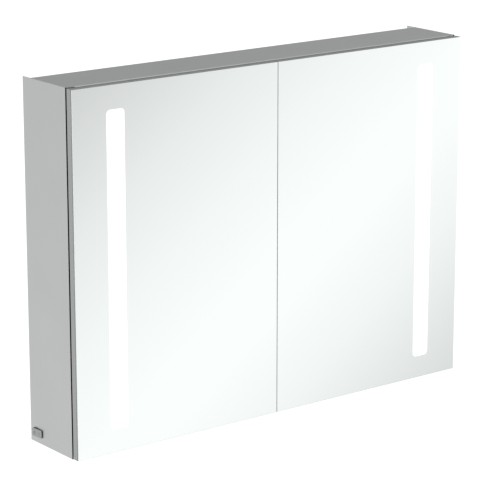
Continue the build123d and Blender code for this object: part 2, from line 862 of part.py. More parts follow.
left_pieces = {
    "hinge_plates": group(hinge_plate(height) for height in hinge_heights),
    "hinge_plate_screws": group(plane * countersunk(plate_screw_length) for plane in plate_screw_planes()),
    "hinge_arms": group(hinge_arm(height) for height in hinge_heights),
    "hinge_arm_screws": group(
        plane * pan_head(arm_screw_length) for height in hinge_heights for plane in arm_screw_planes(height)
    ),
    "hinge_cups": group(hinge_cup(height) for height in hinge_heights),
    "hinge_pins": group(hinge_pin(height) for height in hinge_heights),
    "hinge_cup_screws": group(plane * countersunk(cup_screw_length) for plane in cup_screw_planes()),
    "mirror_front": mirror_front(),
    "light_diffuser": light_diffuser(),
    "led_strip": led_strip(),
    "door_core": door_core(),
    "door_frame": door_frame(),
    "mirror_rear": mirror_rear(),
}
for name, piece in left_pieces.items():
    save(f"left_{name}", piece)
    save(f"right_{name}", mirrored(piece))
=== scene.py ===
import math

import bmesh
import bpy
from bpy.props import FloatProperty, FloatVectorProperty, IntProperty, PointerProperty
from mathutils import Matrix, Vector


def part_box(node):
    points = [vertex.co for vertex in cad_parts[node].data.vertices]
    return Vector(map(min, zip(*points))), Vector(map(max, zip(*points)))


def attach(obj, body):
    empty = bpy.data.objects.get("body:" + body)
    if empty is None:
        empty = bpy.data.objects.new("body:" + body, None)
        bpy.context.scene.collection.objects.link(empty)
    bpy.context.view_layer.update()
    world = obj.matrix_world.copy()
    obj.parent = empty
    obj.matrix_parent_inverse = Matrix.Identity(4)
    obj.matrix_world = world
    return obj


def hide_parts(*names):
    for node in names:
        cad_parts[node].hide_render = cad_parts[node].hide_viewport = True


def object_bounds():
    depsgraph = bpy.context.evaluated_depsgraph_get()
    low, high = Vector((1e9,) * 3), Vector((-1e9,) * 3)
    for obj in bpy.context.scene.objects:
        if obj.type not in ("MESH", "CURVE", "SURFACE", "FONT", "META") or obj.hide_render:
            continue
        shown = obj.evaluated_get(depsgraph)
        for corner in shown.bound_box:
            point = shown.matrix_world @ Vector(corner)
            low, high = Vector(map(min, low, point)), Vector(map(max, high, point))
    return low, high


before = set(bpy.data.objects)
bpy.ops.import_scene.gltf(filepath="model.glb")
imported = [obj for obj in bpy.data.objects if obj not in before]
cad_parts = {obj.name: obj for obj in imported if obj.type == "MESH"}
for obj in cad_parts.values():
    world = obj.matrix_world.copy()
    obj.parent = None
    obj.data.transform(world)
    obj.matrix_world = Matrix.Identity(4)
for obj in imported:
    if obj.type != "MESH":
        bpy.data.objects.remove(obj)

bl_info = {
    "name": "Mirror Cabinet",
    "version": (1, 0, 0),
    "blender": (4, 5, 0),
    "location": "3D View > Sidebar > Mirror Cabinet",
    "description": "Dresses a wall-hung bathroom mirror cabinet with lit doors",
    "category": "Object",
}

CAD_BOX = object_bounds()
MM = 0.001
MERGE = 0.01 * MM
SHARP_EDGE = math.radians(35.0)
SIDES = ("left", "right")
UP = Vector((0.0, 0.0, 1.0))
SPIN_SEED = 7

# Digits to which places in metres and directions are told apart
PLACE_DIGITS = 5
DIRECTION_DIGITS = 2

# Grey levels that only the mirrors and the metal see: out along the floor, up the sky and
# down the slant of a card
FLOOR_GREYS = ((0.04, 0.98), (0.08, 0.93), (0.16, 0.86), (0.32, 0.92), (1.0, 0.72))
SKY_GREYS = ((0.0, 0.72), (0.22, 0.45), (0.45, 0.2), (0.6, 0.22), (0.8, 0.9))
CARD_GREYS = ((0.0, 0.64), (0.2, 0.82), (0.35, 0.91), (0.5, 0.97), (0.6, 0.97), (0.75, 0.90), (1.0, 0.70))


# Values that a user may change

def linear(code):
    """An sRGB hex value as linear red, green, blue and alpha."""
    channels = [int(code[start:start + 2], 16) / 255 for start in (1, 3, 5)]
    curve = [value / 12.92 if value <= 0.04045 else ((value + 0.055) / 1.055) ** 2.4 for value in channels]
    return (*curve, 1.0)


WHITE = linear("#FFFFFF")


def tint(label, use, code):
    """A colour, given as a hex value."""
    return FloatVectorProperty(name=label, description=use, size=4, subtype="COLOR", min=0, max=1,
                               default=linear(code))


def length(label, use, size):
    """A length, given in millimetres."""
    return FloatProperty(name=label, description=use, default=size * MM, min=0,
                         subtype="DISTANCE", unit="LENGTH")


def angle(label, use, degrees):
    """An angle, given in degrees."""
    return FloatProperty(name=label, description=use, default=math.radians(degrees), subtype="ANGLE")


def spot(label, use, metres):
    """A place, given in metres."""
    return FloatVectorProperty(name=label, description=use, size=3, default=metres,
                               subtype="TRANSLATION", unit="LENGTH")


def level(label, use, value):
    """A strength or power."""
    return FloatProperty(name=label, description=use, default=value, min=0)


class CabinetColours(bpy.types.PropertyGroup):
    """Colours of the cabinet's finishes."""
    aluminium: tint("Aluminium", "Satin skins and boards", "#D3D5D5")
    door_edge: tint("Door edge", "Edge rails of the doors", "#B1B3B2")
    mirror: tint("Mirror", "Silver behind clear glass", "#F6FAF9")
    glass_edge: tint("Glass edge", "Ground edges of the mirrors", "#858D8A")
    # Painted reflection: the upright arrises are painted pale so that the gap between the doors reads light
    arris_painted_reflection: tint("Glass arris", "Polished upright arrises of the mirrors", "#EAF0EE")
    shelf_glass: tint("Shelf glass", "Body of the clear shelves", "#F2FAF7")
    shelf_edge: tint("Shelf edge", "Ground edges of the clear shelves", "#A9CFC0")
    opal: tint("Opal strip", "Lit diffusers in the doors", "#C8CACA")
    # Near black: on the edge seals this dark colour also stands for the shade deep in the gap beside the
    # doors
    rubber: tint("Rubber", "Seals, spacers and the lead's ring", "#0E0F0F")
    nickel: tint("Nickel", "Plated hinge parts", "#C9C6BF")
    zinc: tint("Zinc", "Plated rails and screws", "#BCC0C3")
    chrome: tint("Chrome", "Shelf rests", "#DADDDF")
    brass: tint("Brass", "Blades of the light switch", "#C9A75B")
    rear: tint("Rear panel", "Coated sheet at the back", "#B9BCBE")
    cover: tint("Cover", "Moulded cover over the electrics", "#ABAEAF")
    rocker: tint("Rocker", "Paddle of the light switch", "#9C9E9D")
    housing: tint("Switch housing", "Body of the light switch", "#303233")
    ink: tint("Ink", "Signs on the rocker", "#3A3C3D")
    driver: tint("Driver", "Case of the lamp driver", "#DEDEDB")
    nylon: tint("Nylon", "Terminal block and sleeves of the rest holes", "#E4E3DB")
    # Painted shade: the floor of each rest hole is a near-black disc for the shade inside it
    bore: tint("Bore", "Dark inside of the rest holes", "#17181A")


class CabinetSizes(bpy.types.PropertyGroup):
    """Sizes of the pieces that are added to the frame."""
    screw_head: length("Screw head", "Radius of every screw head", 3.6)
    screw_crown: length("Screw crown", "Radius of the flat on top of a low head", 2.45)
    screw_shank: length("Screw shank", "Radius of every screw shank", 2.0)
    screw_tail: length("Screw tail", "Reach of a shank behind its head", 6.0)
    pan_height: length("Low head", "Height of the low screw heads", 2.0)
    recess_reach: length("Recess reach", "From the middle of a head to the end of its cross", 2.1)
    recess_floor: length("Recess floor", "Reach of the cross at its floor", 1.25)
    recess_width: length("Recess width", "Width of an arm of the cross", 1.0)
    recess_depth: length("Recess depth", "Depth of the cross", 1.5)
    rest_radius: length("Rest radius", "Half-round of a shelf rest", 4.5)
    rest_flat: length("Rest flat", "From a rest's axis up to its flat under the glass", 2.25)
    rest_length: length("Rest length", "Reach of a shelf rest from the wall", 7.0)
    rest_nose: length("Rest nose", "Bevel at the free end of a shelf rest", 0.8)
    rest_pin: length("Rest pin", "Radius of the pin of a shelf rest", 2.4)
    rest_depth: length("Pin depth", "Reach of a rest's pin into the wall", 8.0)
    rest_room: length("Rest room", "From a rest in use to the next free hole", 13.5)
    bore_pitch: length("Bore pitch", "Between two bored rest holes", 32.0)
    bore_radius: length("Bore radius", "Of a rest hole", 2.5)
    # The bore's dark floor is a disc of painted shade
    bore_lift: length("Bore lift", "Of a bore's dark floor above the wall", 0.03)
    bore_room: length("Bore room", "From a rest hole to a hinge or the cover", 6.0)
    sleeve_wall: length("Sleeve wall", "Thickness of the sleeve in a rest hole", 0.9)
    sleeve_margin: length("Row margin", "From the inner top and bottom to the rows of holes", 64.0)
    bumper_side: length("Bumper side", "Height of a bumper's upright side", 1.6)
    mark_line: length("Mark line", "Line of the signs on the rocker", 0.8)
    mark_size: length("Mark size", "Height of the signs on the rocker", 5.0)
    mark_spread: length("Mark spread", "From the rocker's middle to a sign", 7.5)
    mark_film: length("Mark film", "Thickness of the signs on the rocker", 0.08)
    sleeve_sides: IntProperty(name="Sleeve sides", description="Sides of a sleeve", default=12, min=8)
    lip_sides: IntProperty(name="Lip sides", description="Sides of a sleeve's lip", default=4, min=4)
    round_sides: IntProperty(name="Round sides", description="Sides of a turned piece", default=32, min=8)
    arc_steps: IntProperty(name="Arc steps", description="Steps of a rounded profile", default=10, min=4)


class CabinetStage(bpy.types.PropertyGroup):
    """Camera, floor and light."""
    camera_place: spot("Camera place", "Where the camera stands", (-2.8887, -3.8311, 0.8950))
    camera_tilt: angle("Camera tilt", "Downward tilt of the camera", 14.668)
    camera_turn: angle("Camera turn", "Turn of the camera from the wall's normal", 37.470)
    camera_lens: FloatProperty(name="Lens", description="Focal length", unit="CAMERA", default=171.35)
    floor_drop: length("Floor drop", "From the cabinet's foot to the floor", 1150.0)
    floor_reach: length("Floor reach", "From the cabinet to the floor's edges", 25000.0)
    floor_glow: level("Floor glow", "Brings the seen floor up to white", 0.4)
    key_place: spot("Key place", "Where the soft light at the front left stands", (-2.4, -2.6, 0.9))
    key_power: level("Key power", "Power of the light at the front left", 6.0)
    fill_place: spot("Fill place", "Where the soft light at the front right stands", (2.2, -2.8, 0.5))
    fill_power: level("Fill power", "Power of the light at the front right", 4.0)
    lamp_size: length("Lamp size", "Width of the soft lights", 1800.0)
    lamp_spread: angle("Lamp spread", "Opening of the soft lights", 70.0)
    ambient: level("Ambient", "Even light of the room", 0.9)
    card_low: spot("Card foot", "Lower left corner of the graded card", (0.70, -2.65, -1.80))
    card_high: spot("Card head", "Upper right corner of the graded card", (3.30, -2.65, -0.25))
    grade_start: spot("Grading start", "Upper left end of the card's grading", (1.13, -2.65, -0.51))
    grade_end: spot("Grading end", "Lower right end of the card's grading", (2.81, -2.65, -1.77))
    card_glow: level("Card glow", "Strength of the card in reflections", 1.07)


# Materials

# Feature sizes of the patterns, in millimetres
SHEEN_CLOUD = 160
RAIL_LINES = (40, 0.8, 40)
MIRROR_HAZE = 220
GROUND_GRIT = 1.2
LAMP_PITCH = 25
RESIST_GRAIN = 0.7
FOAM_CELL = 2
MOULD_CLOUD = 30
MILK_CLOUD = 2

# Shares of a surface's direction that tell flat faces and slanted arrises from edges
FACE_SHARE = 0.9
ARRIS_SHARE = 0.2


def node(tree, kind, inputs=None, **settings):
    """Add a node with its settings and its inputs, by name or number among the sockets in use.

    An input is a value, a socket, or a node that gives its first output in use.
    """
    made = tree.nodes.new(kind)
    for name, value in settings.items():
        setattr(made, name, value)
    for key, value in (inputs or {}).items():
        used = [socket for socket in made.inputs if socket.enabled]
        target = used[key] if isinstance(key, int) else next(socket for socket in used if socket.name == key)
        if isinstance(value, bpy.types.Node):
            value = next(socket for socket in value.outputs if socket.enabled)
        if isinstance(value, bpy.types.NodeSocket):
            tree.links.new(value, target)
        else:
            target.default_value = value
    return made


def begin(name):
    """An empty material, its tree and the place of a point on its piece."""
    material = bpy.data.materials.new(name)
    material.use_nodes = True
    tree = material.node_tree
    tree.nodes.clear()
    return material, tree, node(tree, "ShaderNodeTexCoord").outputs["Object"]


def close(material, tree, inputs):
    """End a material in one shader."""
    shader = node(tree, "ShaderNodeBsdfPrincipled", inputs)
    node(tree, "ShaderNodeOutputMaterial", {"Surface": shader})
    return material


def per(size):
    """Repeats per metre of a pattern whose features are this many millimetres."""
    return 1.0 / (size * MM)


def shaded(colour, amount):
    """A colour made darker or lighter."""
    return (*[min(1.0, channel * amount) for channel in colour[:3]], 1.0)


def anodised(name, streaks, lip=None):
    """Satin aluminium with streaks of these sizes, and a painted highlight along the front edge where its
    depth is given.
    """
    # Anodised aluminium, extruded and etched: an even grey sheen, with streaks drawn about three
    # times as coarse as real ones so that they show. A lighter strip along the front edge is a painted
    # highlight.
    colour = bpy.context.scene.cabinet_colours.aluminium
    dark, pale, bright = [shaded(colour, amount) for amount in (0.93, 1.07, 1.22)]
    material, tree, place = begin(name)
    run = node(tree, "ShaderNodeMapping", {"Vector": place, "Scale": [per(size) for size in streaks]})
    grain = node(tree, "ShaderNodeTexNoise", {"Vector": run, "Scale": 1.0, "Detail": 4.0})
    cloud = node(tree, "ShaderNodeTexNoise", {"Vector": place, "Scale": per(SHEEN_CLOUD), "Detail": 2.0})
    mixed = node(tree, "ShaderNodeMath", {0: grain, 1: cloud}, operation="MULTIPLY")
    tone = node(tree, "ShaderNodeMix", {"Factor": mixed, "A": dark, "B": pale}, data_type="RGBA")
    # Painted highlight: a strip this deep along the front edge is made lighter
    if lip:
        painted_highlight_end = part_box("top_panel")[0].y + lip * MM
        depth = node(tree, "ShaderNodeSeparateXYZ", {"Vector": place}).outputs["Y"]
        front = node(tree, "ShaderNodeMath", {0: depth, 1: painted_highlight_end}, operation="LESS_THAN")
        tone = node(tree, "ShaderNodeMix", {"Factor": front, "A": tone, "B": bright}, data_type="RGBA")
    gloss = node(tree, "ShaderNodeMapRange", {"Value": grain, "To Min": 0.36, "To Max": 0.46})
    relief = node(tree, "ShaderNodeBump", {"Height": grain, "Strength": 0.08, "Distance": 0.05 * MM})
    return close(material, tree, {"Base Color": tone, "Metallic": 1.0, "Roughness": gloss, "Normal": relief})


def anodised_rail(name):
    """Darker drawn edge rail of the doors."""
    # Anodised aluminium, drawn and cut: darker than the skins, with a finer gloss along the edge.
    colour = bpy.context.scene.cabinet_colours.door_edge
    dark, pale = shaded(colour, 0.9), shaded(colour, 1.08)
    material, tree, place = begin(name)
    run = node(tree, "ShaderNodeMapping", {"Vector": place, "Scale": [per(size) for size in RAIL_LINES]})
    grain = node(tree, "ShaderNodeTexNoise", {"Vector": run, "Scale": 1.0, "Detail": 3.0})
    tone = node(tree, "ShaderNodeMix", {"Factor": grain, "A": dark, "B": pale}, data_type="RGBA")
    gloss = node(tree, "ShaderNodeMapRange", {"Value": grain, "To Min": 0.3, "To Max": 0.4})
    return close(material, tree, {"Base Color": tone, "Metallic": 1.0, "Roughness": gloss})


def silvered_float_glass(name):
    """Mirror faces with ground, greenish edges."""
    # Silvered float glass: a clear sharp reflection, a little cold, dull grey-green where the edge is
    # ground, and painted pale on the upright arrises: a painted reflection that lightens the gap between the
    # doors.
    colours = bpy.context.scene.cabinet_colours
    edge_colour, arris_reflection_colour = colours.glass_edge, colours.arris_painted_reflection
    material, tree, place = begin(name)
    normal = node(tree, "ShaderNodeTexCoord").outputs["Normal"]
    facing = node(tree, "ShaderNodeSeparateXYZ", {"Vector": normal}).outputs
    flat = node(tree, "ShaderNodeMath", {0: facing["Y"]}, operation="ABSOLUTE")
    silver = node(tree, "ShaderNodeMath", {0: flat, 1: FACE_SHARE}, operation="GREATER_THAN")
    slant = node(tree, "ShaderNodeMath", {0: facing["X"], 1: facing["Y"]}, operation="MULTIPLY")
    slope = node(tree, "ShaderNodeMath", {0: slant}, operation="ABSOLUTE")
    arris = node(tree, "ShaderNodeMath", {0: slope, 1: ARRIS_SHARE}, operation="GREATER_THAN")
    bright = node(tree, "ShaderNodeMath", {0: silver, 1: arris}, operation="MAXIMUM")
    haze = node(tree, "ShaderNodeTexNoise", {"Vector": place, "Scale": per(MIRROR_HAZE), "Detail": 3.0})
    polish = node(tree, "ShaderNodeMapRange", {"Value": haze, "To Min": 0.0, "To Max": 0.03})
    grit = node(tree, "ShaderNodeTexNoise", {"Vector": place, "Scale": per(GROUND_GRIT), "Detail": 2.0})
    ground = node(tree, "ShaderNodeMapRange", {"Value": grit, "To Min": 0.4, "To Max": 0.6})
    gloss = node(tree, "ShaderNodeMix", {"Factor": bright, "A": ground, "B": polish})
    # Painted reflection on the arrises: pale in place of the ground edge's grey-green
    edge = node(tree, "ShaderNodeMix", {"Factor": arris, "A": edge_colour, "B": arris_reflection_colour},
                data_type="RGBA")
    tone = node(tree, "ShaderNodeMix", {"Factor": silver, "A": edge, "B": colours.mirror}, data_type="RGBA")
    return close(material, tree, {
        "Base Color": tone, "Metallic": silver, "Roughness": gloss, "Specular IOR Level": 0.25,
    })


def clear_float_glass(name):
    """Glass shelves with greener ground edges."""
    # Clear float glass: see-through with a faint green cast, and a milky green ground edge.
    colours = bpy.context.scene.cabinet_colours
    material, tree, place = begin(name)
    normal = node(tree, "ShaderNodeTexCoord").outputs["Normal"]
    facing = node(tree, "ShaderNodeSeparateXYZ", {"Vector": normal}).outputs
    flat = node(tree, "ShaderNodeMath", {0: facing["Z"]}, operation="ABSOLUTE")
    face = node(tree, "ShaderNodeMath", {0: flat, 1: FACE_SHARE}, operation="GREATER_THAN")
    grit = node(tree, "ShaderNodeTexNoise", {"Vector": place, "Scale": per(GROUND_GRIT), "Detail": 2.0})
    ground = node(tree, "ShaderNodeMapRange", {"Value": grit, "To Min": 0.25, "To Max": 0.45})
    gloss = node(tree, "ShaderNodeMix", {"Factor": face, "A": ground, "B": 0.01})
    tone = node(tree, "ShaderNodeMix", {"Factor": face, "A": colours.shelf_edge, "B": colours.shelf_glass},
                data_type="RGBA")
    return close(material, tree, {
        "Base Color": tone, "Roughness": gloss, "IOR": 1.52, "Transmission Weight": 1.0,
    })


def cast_opal_acrylic(name):
    """Lit strip."""
    # Opal acrylic, cast and lit from behind: an even white glow that is a touch stronger over the lamps.
    material, tree, place = begin(name)
    run = node(tree, "ShaderNodeMapping", {"Vector": place, "Scale": (0.0, 0.0, per(LAMP_PITCH))})
    lamps = node(tree, "ShaderNodeTexNoise", {"Vector": run, "Scale": 1.0, "Detail": 1.0})
    glow = node(tree, "ShaderNodeMapRange", {"Value": lamps, "To Min": 0.5, "To Max": 0.6})
    return close(material, tree, {
        "Base Color": bpy.context.scene.cabinet_colours.opal, "Roughness": 0.35, "IOR": 1.49,
        "Emission Color": WHITE, "Emission Strength": glow,
    })


def coated_lamp_board(name):
    """White lamp board with yellow lamps."""
    # White solder resist over aluminium, glossy, with phosphor-yellow lamps standing on it.
    dull, white, yellow = linear("#E6E7E4"), linear("#F3F3F0"), linear("#E8C94A")
    lamp_height = 0.8 * MM
    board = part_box("left_led_strip")[0].y + lamp_height
    material, tree, place = begin(name)
    depth = node(tree, "ShaderNodeSeparateXYZ", {"Vector": place}).outputs["Y"]
    lamp = node(tree, "ShaderNodeMath", {0: depth, 1: board}, operation="LESS_THAN")
    dust = node(tree, "ShaderNodeTexNoise", {"Vector": place, "Scale": per(RESIST_GRAIN), "Detail": 2.0})
    resist = node(tree, "ShaderNodeMix", {"Factor": dust, "A": dull, "B": white}, data_type="RGBA")
    tone = node(tree, "ShaderNodeMix", {"Factor": lamp, "A": resist, "B": yellow}, data_type="RGBA")
    return close(material, tree, {"Base Color": tone, "Roughness": 0.3})


def foamed_polystyrene(name):
    """Core of the doors."""
    # Foamed polystyrene board, cut: white, dull and closed-celled.
    wall, hollow = linear("#EDEDEA"), linear("#D5D5D0")
    material, tree, place = begin(name)
    cells = node(tree, "ShaderNodeTexVoronoi", {"Vector": place, "Scale": per(FOAM_CELL)})
    tone = node(tree, "ShaderNodeMix", {"Factor": cells, "A": wall, "B": hollow}, data_type="RGBA")
    relief = node(tree, "ShaderNodeBump", {"Height": cells, "Strength": 0.3, "Distance": 0.3 * MM})
    return close(material, tree, {"Base Color": tone, "Roughness": 0.85, "Normal": relief})


def clear_polyurethane(name):
    """Door bumpers."""
    # Polyurethane, cast in domes: clear, soft and faintly milky.
    material, tree, place = begin(name)
    milk = node(tree, "ShaderNodeTexNoise", {"Vector": place, "Scale": per(MILK_CLOUD), "Detail": 2.0})
    gloss = node(tree, "ShaderNodeMapRange", {"Value": milk, "To Min": 0.12, "To Max": 0.22})
    return close(material, tree, {
        "Base Color": linear("#EEF2F1"), "Roughness": gloss, "IOR": 1.5, "Transmission Weight": 0.7,
    })


def moulded(name, pigment, grit, rough, shine=0.5):
    """A moulded, coated or printed finish with a fine texture."""
    colour = getattr(bpy.context.scene.cabinet_colours, pigment)
    dark, pale = shaded(colour, 0.96), shaded(colour, 1.04)
    spread = 0.08
    low, high = rough - spread, rough + spread
    material, tree, place = begin(name)
    grain = node(tree, "ShaderNodeTexNoise", {"Vector": place, "Scale": per(grit), "Detail": 3.0})
    cloud = node(tree, "ShaderNodeTexNoise", {"Vector": place, "Scale": per(MOULD_CLOUD), "Detail": 2.0})
    tone = node(tree, "ShaderNodeMix", {"Factor": cloud, "A": dark, "B": pale}, data_type="RGBA")
    gloss = node(tree, "ShaderNodeMapRange", {"Value": grain, "To Min": low, "To Max": high})
    relief = node(tree, "ShaderNodeBump", {"Height": grain, "Strength": 0.2, "Distance": 0.04 * MM})
    return close(material, tree, {
        "Base Color": tone, "Roughness": gloss, "Normal": relief, "Specular IOR Level": shine,
    })


def plated(name, metal, patch, low, high):
    """A plated or stamped metal with soft patches in its colour and roughness."""
    colour = getattr(bpy.context.scene.cabinet_colours, metal)
    dark, pale = shaded(colour, 0.88), shaded(colour, 1.08)
    material, tree, place = begin(name)
    patches = node(tree, "ShaderNodeTexNoise",
                   {"Vector": place, "Scale": per(patch), "Detail": 4.0, "Distortion": 0.6})
    tone = node(tree, "ShaderNodeMix", {"Factor": patches, "A": dark, "B": pale}, data_type="RGBA")
    gloss = node(tree, "ShaderNodeMapRange", {"Value": patches, "To Min": low, "To Max": high})
    return close(material, tree, {"Base Color": tone, "Metallic": 1.0, "Roughness": gloss})


# Every finish with its maker and what that takes, with sizes in millimetres: the streaks and the
# depth of the painted highlight at the front; colour, texture, roughness and shine; or colour,
# patches, least and most roughness. No finish has the name of a slot of the frame.
FINISHES = {
    # Extruded upwards: skins, side boards and the middle wall
    "anodised_upright": (anodised, (1.5, 1.5, 90)),
    # Extruded along the cabinet: top and bottom, with a painted highlight along the front edge
    "anodised_level": (anodised, (90, 1.5, 1.5), 6),
    # What these give the eye stands with their makers
    "anodised_rail": (anodised_rail,),
    "silvered_float_glass": (silvered_float_glass,),
    "clear_float_glass": (clear_float_glass,),
    "cast_opal_acrylic": (cast_opal_acrylic,),
    "coated_lamp_board": (coated_lamp_board,),
    "foamed_polystyrene": (foamed_polystyrene,),
    "clear_polyurethane": (clear_polyurethane,),
    # EPDM rubber, extruded or moulded: near black, dull, with a dusty bloom
    "epdm_rubber": (moulded, "rubber", 0.8, 0.72, 0.2),
    # ABS, moulded with a spark-eroded texture: mid grey and matt
    "grey_abs": (moulded, "cover", 0.6, 0.5),
    # Polycarbonate, moulded: off-white, half matt
    "white_polycarbonate": (moulded, "driver", 0.6, 0.45),
    # Nylon, moulded, undyed: milky and slightly glossy
    "natural_nylon": (moulded, "nylon", 1.0, 0.35),
    # Nylon, moulded, black: deep and half matt
    "black_nylon": (moulded, "housing", 0.5, 0.42),
    # Nylon, moulded, mid grey: half glossy from fingers
    "grey_nylon": (moulded, "rocker", 0.5, 0.32),
    # Ink, pad-printed: dark grey and matt
    "sign_paint": (moulded, "ink", 0.4, 0.55),
    # Painted shade at the floor of a small bore: almost black, standing for the shade down the rest hole
    "bore_shadow": (moulded, "bore", 0.4, 0.7),
    # Powder-coated sheet: pale grey with a fine orange peel
    "coated_sheet": (moulded, "rear", 1.6, 0.48),
    # Nickel on pressed steel: warm, bright and slightly soft
    "nickel_plate": (plated, "nickel", 6, 0.18, 0.3),
    # Zinc on folded sheet, passivated: cool grey with clouded patches
    "zinc_plate": (plated, "zinc", 12, 0.3, 0.48),
    # Zinc on cold-headed steel: cool and satin
    "screw_zinc": (plated, "zinc", 3, 0.24, 0.36),
    # Chrome on a zinc casting: bright and sharp
    "chrome_plate": (plated, "chrome", 8, 0.05, 0.12),
    # Brass strip, stamped: yellow with a light tarnish
    "stamped_brass": (plated, "brass", 2, 0.25, 0.4),
}


def finish(name):
    """The finish of that name, made only once."""
    maker, *needs = FINISHES[name]
    return bpy.data.materials.get(name) or maker(name, *needs)


def dress(name, *nodes):
    """Give CAD nodes a finish in place of their plain one."""
    for cad_node in nodes:
        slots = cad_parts[cad_node].data.materials
        slots.clear()
        slots.append(finish(name))


def both(*names):
    """Node names for the left and the right side."""
    return [f"{side}_{name}" for side in SIDES for name in names]


# Meshes

def solids(name):
    """Lowest and highest corner of each separate solid of a CAD node, in a fixed order."""
    mesh = bmesh.new()
    mesh.from_mesh(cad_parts[name].data)
    bmesh.ops.remove_doubles(mesh, verts=mesh.verts, dist=MERGE)
    waiting = set(mesh.verts)
    boxes = []
    while waiting:
        front = [waiting.pop()]
        found = list(front)
        while front:
            corner = front.pop()
            linked = {edge.other_vert(corner) for edge in corner.link_edges} & waiting
            waiting -= linked
            front.extend(linked)
            found.extend(linked)
        places = [corner.co for corner in found]
        low = Vector(min(place[axis] for place in places) for axis in range(3))
        high = Vector(max(place[axis] for place in places) for axis in range(3))
        boxes.append((low, high))
    mesh.free()
    return sorted(boxes, key=lambda box: tuple(box[0]))


def covered(place, box, room):
    """Whether a place lies in a box or within some room of it."""
    low, high = box
    return all(low[axis] - room < place[axis] < high[axis] + room for axis in range(3))


def largest_face(name):
    """Middle and outward direction of the largest flat face of a CAD node."""
    groups = {}
    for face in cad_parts[name].data.polygons:
        key = tuple(round(value, DIRECTION_DIGITS) for value in face.normal)
        groups.setdefault(key, []).append(face)
    faces = max(groups.values(), key=lambda group: sum(face.area for face in group))
    area = sum(face.area for face in faces)
    centre = sum((face.center * face.area for face in faces), Vector()) / area
    return centre, faces[0].normal.copy()


def circle(radius, sides):
    """Places round a circle."""
    turns = [math.tau * step / sides for step in range(sides)]
    return [(radius * math.cos(turn), radius * math.sin(turn)) for turn in turns]


def ring(mesh, radius, height, sides):
    """A ring of corners round the Z axis."""
    return [mesh.verts.new((x, y, height)) for x, y in circle(radius, sides)]


def skirt(mesh, upper, lower):
    """Faces between two rings, facing outwards where the upper ring comes first."""
    count = len(upper)
    for step in range(count):
        after = (step + 1) % count
        mesh.faces.new((upper[step], lower[step], lower[after], upper[after]))


def turned(mesh, profile, sides):
    """A turned shape through rings of given radius and height, closed at its lower end."""
    rings = [ring(mesh, radius, height, sides) for radius, height in profile]
    for upper, lower in zip(rings, rings[1:]):
        skirt(mesh, upper, lower)
    mesh.faces.new(list(reversed(rings[-1])))
    return rings[0]


def cross(mesh, reach, half, height):
    """Corners of a cross with four arms."""
    arm = [(half, half), (half, reach), (-half, reach)]
    corners = []
    for quarter in range(4):
        turn = quarter * math.pi / 2
        for x, y in arm:
            across = x * math.cos(turn) - y * math.sin(turn)
            along = x * math.sin(turn) + y * math.cos(turn)
            corners.append(mesh.verts.new((across, along, height)))
    return corners


def loop_edges(mesh, corners):
    """Edges round a closed row of corners."""
    pairs = zip(corners, corners[1:] + corners[:1])
    return [mesh.edges.get(pair) or mesh.edges.new(pair) for pair in pairs]


def formed(name, mesh):
    """A mesh as an object that isn't in the scene yet."""
    bmesh.ops.recalc_face_normals(mesh, faces=mesh.faces)
    data = bpy.data.meshes.new(name)
    mesh.to_mesh(data)
    mesh.free()
    return bpy.data.objects.new(name, data)


def rest_template(sizes):
    """A half-round shelf rest with its pin, standing on a wall at the origin."""
    mesh = bmesh.new()
    dip = math.asin(sizes.rest_flat / sizes.rest_radius)
    sweep = math.pi + 2 * dip
    steps = 2 * sizes.arc_steps
    turns = [math.pi - dip + sweep * step / steps for step in range(steps + 1)]
    ends = (
        (sizes.rest_radius, 0.0),
        (sizes.rest_radius, sizes.rest_length - sizes.rest_nose),
        (sizes.rest_radius - sizes.rest_nose, sizes.rest_length),
    )
    rows = []
    for radius, height in ends:
        places = [(radius * math.cos(turn), radius * math.sin(turn), height) for turn in turns]
        rows.append([mesh.verts.new(place) for place in places])
    for lower, upper in zip(rows, rows[1:]):
        skirt(mesh, upper, lower)
    mesh.faces.new(rows[0])
    mesh.faces.new(rows[-1])
    pin = turned(mesh, [(sizes.rest_pin, 0.0), (sizes.rest_pin, -sizes.rest_depth)], sizes.round_sides)
    mesh.faces.new(pin)
    return formed("rest_template", mesh)


def bumper_template(sizes, radius, rise):
    """A dome on a low upright side, standing on a wall at the origin."""
    mesh = bmesh.new()
    crown = rise - sizes.bumper_side
    arc = [math.pi / 2 * step / sizes.arc_steps for step in range(1, sizes.arc_steps + 1)]
    dome = [(radius * math.sin(turn), sizes.bumper_side + crown * math.cos(turn)) for turn in arc]
    top = turned(mesh, [*dome, (radius, 0.0)], sizes.round_sides)
    tip = mesh.verts.new((0.0, 0.0, rise))
    for corner, after in zip(top, top[1:] + top[:1]):
        mesh.faces.new((tip, corner, after))
    return formed("bumper_template", mesh)


def screw_profiles(sizes):
    """Profiles of the flat and the low screws from the top of the head down."""
    head, crown = sizes.screw_head, sizes.screw_crown
    shank, tail = sizes.screw_shank, sizes.screw_tail
    steps = sizes.arc_steps // 2
    arc = [math.pi / 2 * step / steps for step in range(steps + 1)]
    dome = [(crown + (head - crown) * math.sin(turn), sizes.pan_height * math.cos(turn)) for turn in arc]
    return {
        "flat": [(head, 0.0), (shank, shank - head), (shank, -tail)],
        "low": [*dome, (shank, 0.0), (shank, -tail)],
    }


def screw_template(name, profile, sizes):
    """A screw with a cross recess in its head, seated at the origin with its shank downwards."""
    mesh = bmesh.new()
    top = turned(mesh, profile, sizes.round_sides)
    height = profile[0][1]
    half = sizes.recess_width / 2
    mouth = cross(mesh, sizes.recess_reach, half, height)
    floor = cross(mesh, sizes.recess_floor, half, height - sizes.recess_depth)
    bmesh.ops.triangle_fill(mesh, edges=loop_edges(mesh, top) + loop_edges(mesh, mouth), use_beauty=True)
    skirt(mesh, floor, mouth)
    mesh.faces.new(floor)
    return formed(name, mesh)


